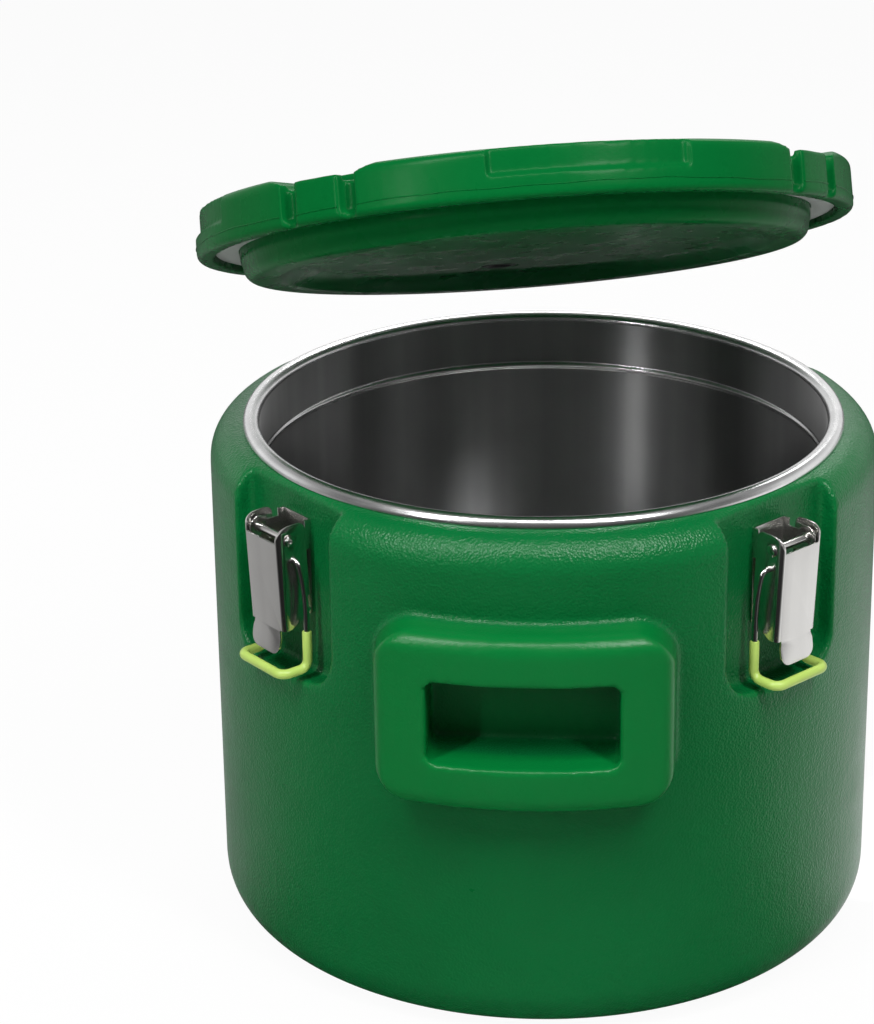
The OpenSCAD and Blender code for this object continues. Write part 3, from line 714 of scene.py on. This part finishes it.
# %% [markdown]
# ## Seal ring
# The seal is a cast silicone ring that sits in a groove of the lid. Its solid could take a bevel, but a
# ring is quickly turned on the lathe as a strip with rounded edges. Silicone is pale, a little cloudy and
# dull.

# %% Turn the seal ring
SEAL_EDGE = 0.0008
SEAL_EDGE_STEPS = 4
QUIET_CLOUDS = {"scale": 60, "detail": 4}
QUIET_GRAIN_DETAIL = 3


def plain_plastic(name, dark, light, roughness, grain_scale, grain_depth):
    """A quiet moulded finish with a cloudy colour and a fine bump."""
    material, tree, shader = new_finish(name)
    cloud = add_noise(tree, **QUIET_CLOUDS)
    tree.links.new(blend_colours(tree, cloud, (*dark, 1), (*light, 1)), shader.inputs["Base Color"])
    tree.links.new(spread(tree, cloud, *roughness), shader.inputs["Roughness"])
    add_bump(tree, shader, add_noise(tree, grain_scale, QUIET_GRAIN_DETAIL), grain_depth)
    return material


def seal_profile():
    """A strip with four rounded edges, measured on the solid."""
    seal_low, seal_high = own_box("lid_gasket", LID)
    inner = min(point.xy.length for point in own_points("lid_gasket", LID)) + SEAL_EDGE
    outer = seal_high.x - SEAL_EDGE
    bottom, top = seal_low.z + SEAL_EDGE, seal_high.z - SEAL_EDGE
    strip = []
    for x, z, start in ((outer, bottom, -90), (outer, top, 0), (inner, top, 90), (inner, bottom, 180)):
        strip += arc(x, z, SEAL_EDGE, start, start + 90, SEAL_EDGE_STEPS)
    return strip


silicone = plain_plastic("silicone", (0.3, 0.32, 0.3), (0.42, 0.44, 0.42), roughness=(0.4, 0.6),
                         grain_scale=500, grain_depth=0.00005)
seal = spin("seal_ring", seal_profile(), closed=True)
seal.data.transform(LID)
seal.data.materials.append(silicone)
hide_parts("lid_gasket")
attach(seal, "seal")
print("seal ring:", len(seal.data.polygons), "faces")

# %% [markdown]
# ## Vent and latches
# The vent is a black bush with a soft plug. Base, lever and rivet of a latch are pressed and riveted from
# bright steel sheet. All these solids already have their real bends and holes. They could be modelled
# again, but they are kept, and a hair of bevel along each cut edge catches the light as deburred sheet
# does.

# %% Break the edges of the small pieces
WELD_REACH = 0.00001
FLAT_TURN = 1.0
BEVEL_TURN = 32.0
BEVEL_SEGMENTS = 2
VENT_BEVEL = 0.0006
LATCH_BEVEL = 0.00018
SCREW_BEVEL = 0.0002
LATCH_PIECES = ("latch_base", "latch_pin", "latch_lever")


def break_edges(node, material, width):
    """Dresses a solid in place: joins its facets, bevels its edges a little and gives it a finish."""
    piece = frame["nodes"][node]
    piece.data.materials.clear()
    piece.data.materials.append(material)
    weld = piece.modifiers.new("join_facets", "WELD")
    weld.merge_threshold = WELD_REACH
    flat = piece.modifiers.new("flat_faces", "DECIMATE")
    flat.decimate_type = "DISSOLVE"
    flat.angle_limit = math.radians(FLAT_TURN)
    bevel = piece.modifiers.new("broken_edges", "BEVEL")
    bevel.width = width
    bevel.segments = BEVEL_SEGMENTS
    bevel.limit_method = "ANGLE"
    bevel.angle_limit = math.radians(BEVEL_TURN)
    bevel.harden_normals = True
    piece.data.shade_smooth()


vent_black = plain_plastic("vent_black", (0.012, 0.014, 0.014), (0.03, 0.033, 0.033), roughness=(0.4, 0.6),
                           grain_scale=700, grain_depth=0.00006)
break_edges("vent_bush", vent_black, VENT_BEVEL)
break_edges("vent_plug", silicone, VENT_BEVEL)
for k in LATCH_NUMBERS:
    for name in LATCH_PIECES:
        break_edges(f"{name}_{k}", latch_steel, LATCH_BEVEL)
break_edges("latch_screws", latch_steel, SCREW_BEVEL)
print("broken edges: vent, screws and", len(LATCH_NUMBERS) * len(LATCH_PIECES), "latch pieces")

# %% [markdown]
# ## The route of a bail
# Each bail is one length of spring wire: its ends turn into the lever, its legs bow, and at the foot it
# bends out to a crossbar that hooks over the lid. The solid could be kept, but wire is rounder than its
# facets. Its sizes are measured on the solid, and its route is laid out again from straight stretches and
# arcs.

# %% Lay out the route
PIVOT_BEND = 0.004
HOOK_BEND = 0.006
LEG_SLANT = 13.0
LEG_BOW = 0.15
BEND_STEPS = 10
END_FACE = 0.0001


def wire_sizes():
    """Measured on one bail: where its ends start, its wire's and sleeve's radius, and the sleeve's reach."""
    ends = [point for point in own_points("bail_wire_1", PIVOTS[1]) if point.z > -PIVOT_BEND]
    inner = min(abs(point.x) for point in ends)
    radius = max(point.yz.length for point in ends if abs(point.x) < inner + END_FACE)
    wire_low, _ = own_box("bail_wire_1", PIVOTS[1])
    sleeve_low, sleeve_high = own_box("bail_sleeve_1", PIVOTS[1])
    return inner, radius, radius + wire_low.z - sleeve_low.z, sleeve_high.z - wire_low.z - radius


def bend(centre, start, end, radius, first=0, last=90):
    """Points on an arc in space, from two unit directions that span its plane."""
    turns = [math.radians(first + (last - first) * i / BEND_STEPS) for i in range(BEND_STEPS + 1)]
    return [Vector(centre) + radius * (math.cos(a) * start + math.sin(a) * end) for a in turns]


def half_route(k):
    """One side of a bail, from its end in the lever to the crossbar, in its pivot's frame."""
    low, high = own_box(f"bail_wire_{k}", PIVOTS[k])
    leg_x, leg_y = high.x - WIRE_R, high.y - WIRE_R
    foot, hook_y = low.z + WIRE_R, low.y + WIRE_R
    slant = math.radians(LEG_SLANT)
    east, north = Vector((1, 0, 0)), Vector((0, 1, 0))
    lean = Vector((0, math.sin(slant), -math.cos(slant)))
    bow_z = -PIVOT_BEND * math.cos(slant) - LEG_BOW * math.sin(slant)
    route = [Vector((WIRE_END, 0, 0))]
    route += bend(Vector((leg_x - PIVOT_BEND, 0, 0)) + PIVOT_BEND * lean, -lean, east, PIVOT_BEND)
    route += bend((leg_x, leg_y - LEG_BOW, bow_z), north, UP, LEG_BOW, LEG_SLANT, 0)[1:]
    route += bend((leg_x, leg_y - HOOK_BEND, foot + HOOK_BEND), north, -UP, HOOK_BEND)
    route += bend((leg_x - HOOK_BEND, hook_y + HOOK_BEND, foot), east, -north, HOOK_BEND)
    return route, foot


WIRE_END, WIRE_R, SLEEVE_R, SLEEVE_UP = wire_sizes()
print(f"wire {2000 * WIRE_R:.1f} mm, sleeve {2000 * SLEEVE_R:.1f} mm")

# %% [markdown]
# ## Bails and their sleeves
# A curve with a round bevel is the natural way to make bent wire. A soft lime tube is pushed over the
# hook end. It could be a second mesh around the first, but it follows the middle of the same route, so it
# is a thicker curve on a part of it, with its ends drawn in a little.

# %% Bend the bails and push on their sleeves
ROD_ROUNDNESS = 6
LIP_STRAIGHT = 0.003
LIP_ROUND = 0.0006
LIP_SHARE = 0.86


def rod(name, route, radius, place, ends=1.0):
    """A round rod along a route. Its ends may be drawn in to a share of its radius."""
    curve = bpy.data.curves.new(name, "CURVE")
    curve.dimensions = "3D"
    curve.bevel_depth = radius
    curve.bevel_resolution = ROD_ROUNDNESS
    curve.use_fill_caps = True
    spline = curve.splines.new("POLY")
    spline.points.add(len(route) - 1)
    for point, where in zip(spline.points, route):
        point.co = (*(place @ where), 1)
    spline.points[0].radius = ends
    spline.points[-1].radius = ends
    piece = bpy.data.objects.new(name, curve)
    scene.collection.objects.link(piece)
    return piece


def both_sides(route):
    """A half route and its mirror image, in one run."""
    return route + [Vector((-point.x, point.y, point.z)) for point in reversed(route)]


def sleeve_route(route, foot):
    """The part of the wire that the sleeve covers, with two closer points to round its end."""
    top = foot + SLEEVE_UP
    covered = [point for point in route if point.z < top - LIP_STRAIGHT]
    leg = covered[0]
    return [Vector((leg.x, leg.y, top)), Vector((leg.x, leg.y, top - LIP_ROUND))] + covered


lime = plain_plastic("sleeve_lime", (0.38, 0.54, 0.1), (0.48, 0.66, 0.15), roughness=(0.28, 0.42),
                     grain_scale=300, grain_depth=0.00008)
for k, pivot in PIVOTS.items():
    route, foot = half_route(k)
    wire = rod(f"bail_rod_{k}", both_sides(route), WIRE_R, pivot)
    sleeve = rod(f"bail_tube_{k}", both_sides(sleeve_route(route, foot)), SLEEVE_R, pivot, LIP_SHARE)
    for piece, node, finish, slot in ((wire, "bail_wire", latch_steel, "steel"),
                                      (sleeve, "bail_sleeve", lime, "sleeve_lime")):
        piece.data.materials.append(finish)
        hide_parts(f"{node}_{k}")
        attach(piece, f"bail_{k}")
print("bails:", len(PIVOTS), "wires of", len(both_sides(route)), "points")

# %% [markdown]
# ## The mould line on the lid
# Where the two halves of the lid's mould met, a thin wavy line of plastic is left on the wall, broken at
# the notches. It is too fine for the quads of the lid, and a bump would vanish from the side, so it is
# laid on as a hair-thin rod, one arc between each two notches.

# %% Lay the mould line
SEAM_HEIGHT = 0.0075
SEAM_R = 0.0004
SEAM_STEPS = 60
SEAM_WAVES = [{"size": 0.0004, "count": 9, "shift": 0}, {"size": 0.0002, "count": 31, "shift": 1}]
NOTCH_HALF = 0.007


def seam_route(first, last):
    """A wavy arc on the lid's wall between two angles in degrees, in the lid's own frame."""
    route = []
    for i in range(SEAM_STEPS + 1):
        angle = math.radians(first + (last - first) * i / SEAM_STEPS)
        waves = sum(wave["size"] * math.sin(wave["count"] * angle + wave["shift"]) for wave in SEAM_WAVES)
        route.append(Vector((LID_R * math.sin(angle), -LID_R * math.cos(angle), SEAM_HEIGHT + waves)))
    return route


def notch_angles():
    """Angles of the eight notches on the lid, from the places of the latches and their bail legs."""
    angles = []
    for k, pivot in PIVOTS.items():
        turn = math.degrees(math.atan2(pivot.translation.x, -pivot.translation.y))
        leg_x = own_box(f"bail_wire_{k}", pivot)[1].x - WIRE_R
        leg_turn = math.degrees(math.asin(leg_x / LID_R))
        angles += [turn - leg_turn, turn + leg_turn]
    return sorted(angles)


clear = math.degrees(NOTCH_HALF / LID_R)
starts = notch_angles()
ends = starts[1:] + [starts[0] + 360]
for i, (start, end) in enumerate(zip(starts, ends), 1):
    line = rod(f"lid_mould_line_{i}", seam_route(start + clear, end - clear), SEAM_R, LID)
    line.data.materials.append(lid_green)
    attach(line, "lid")
print("mould line:", len(starts), "arcs")

# %% [markdown]
# ## What stays inside
# Foam, inserts and the filling plug are hidden in the closed part, but they are real pieces. They could
# be left grey, but then they would look unfinished to whoever takes the part apart, so each has a plain
# finish.

# %% Finish the hidden pieces
HIDDEN_BEVEL = 0.0004

foam = plain_plastic("rigid_foam", (0.72, 0.62, 0.38), (0.85, 0.77, 0.53), roughness=(0.8, 0.95),
                     grain_scale=350, grain_depth=0.0006)
brass = brushed_metal("turned_brass", (0.62, 0.45, 0.2), roughness=(0.25, 0.4), lines=500, depth=BRUSH_DEPTH)
hidden = {"insulation_foam": foam, "lid_foam": foam, "latch_inserts": brass, "foam_plug": body_green}
for node, finish in hidden.items():
    break_edges(node, finish, HIDDEN_BEVEL)
print("hidden pieces:", ", ".join(hidden))
